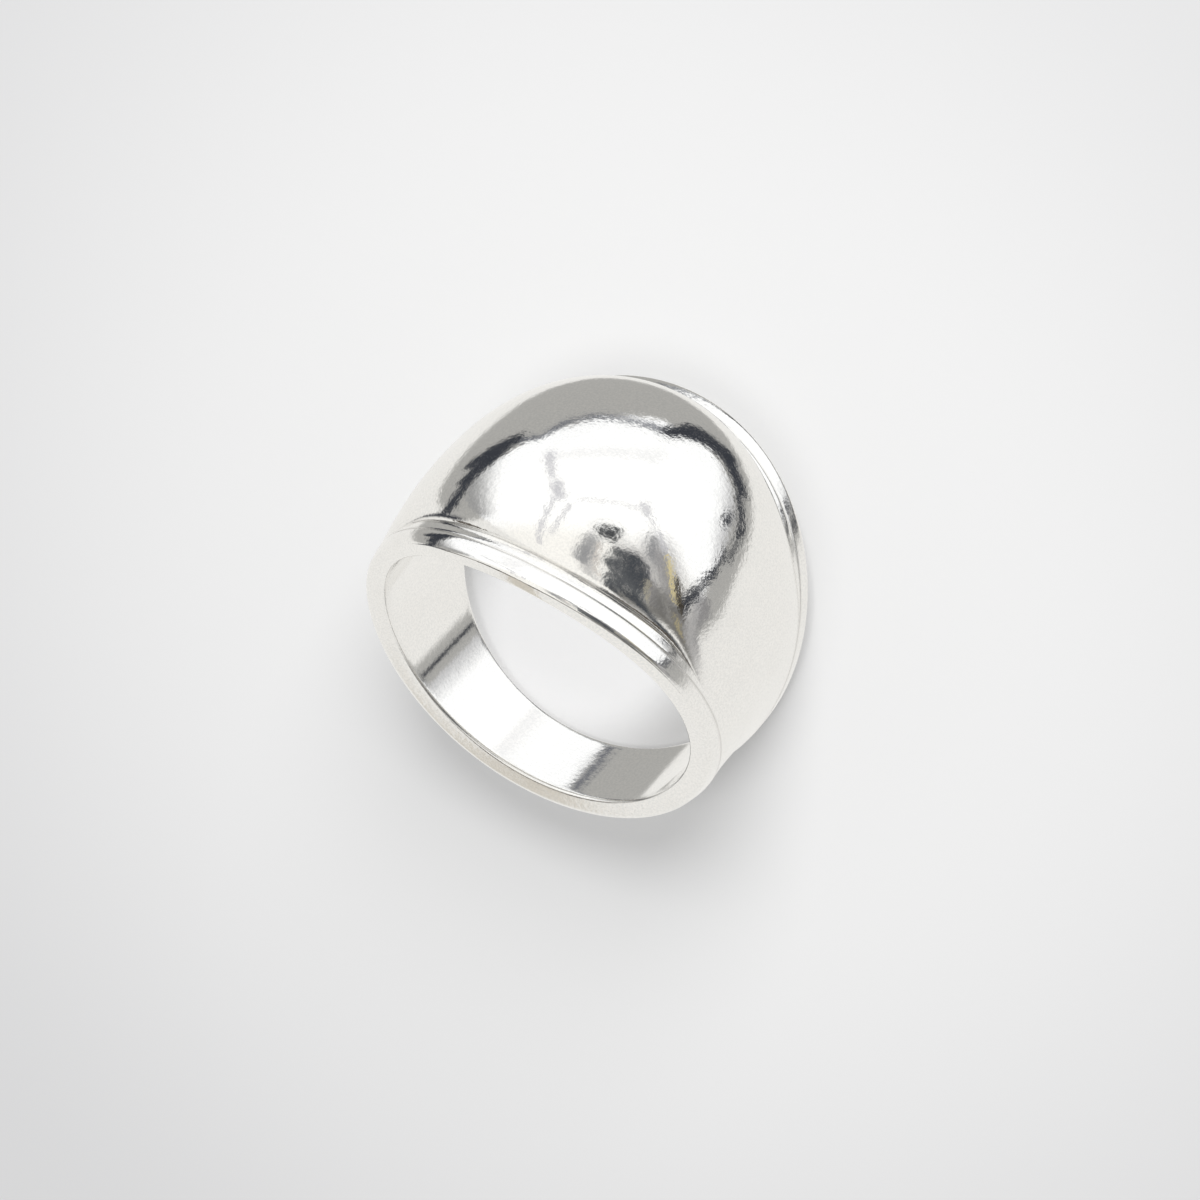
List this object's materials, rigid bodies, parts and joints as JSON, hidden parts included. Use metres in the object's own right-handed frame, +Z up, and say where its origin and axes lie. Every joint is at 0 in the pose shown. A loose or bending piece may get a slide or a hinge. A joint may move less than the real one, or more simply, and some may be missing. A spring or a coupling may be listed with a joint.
{
  "type": "dome ring",
  "caption": "Wide silver finger ring: a high rounded dome between raised rims, hollow behind, tapering to a narrow shank; it lies on its side.",
  "frame": {"origin": "on the surface the ring lies on, under the middle of its bounding box", "axes": "+Z up; the dome points to -Y; X runs across the finger hole; the finger hole's axis leans 20.2 degrees from +Z towards +Y"},
  "size_m": [0.0198, 0.0226, 0.0167],
  "materials": {
    "silver": "polished"
  },
  "bodies": {
    "root": {"ring": "silver"}
  },
  "joints": []
}
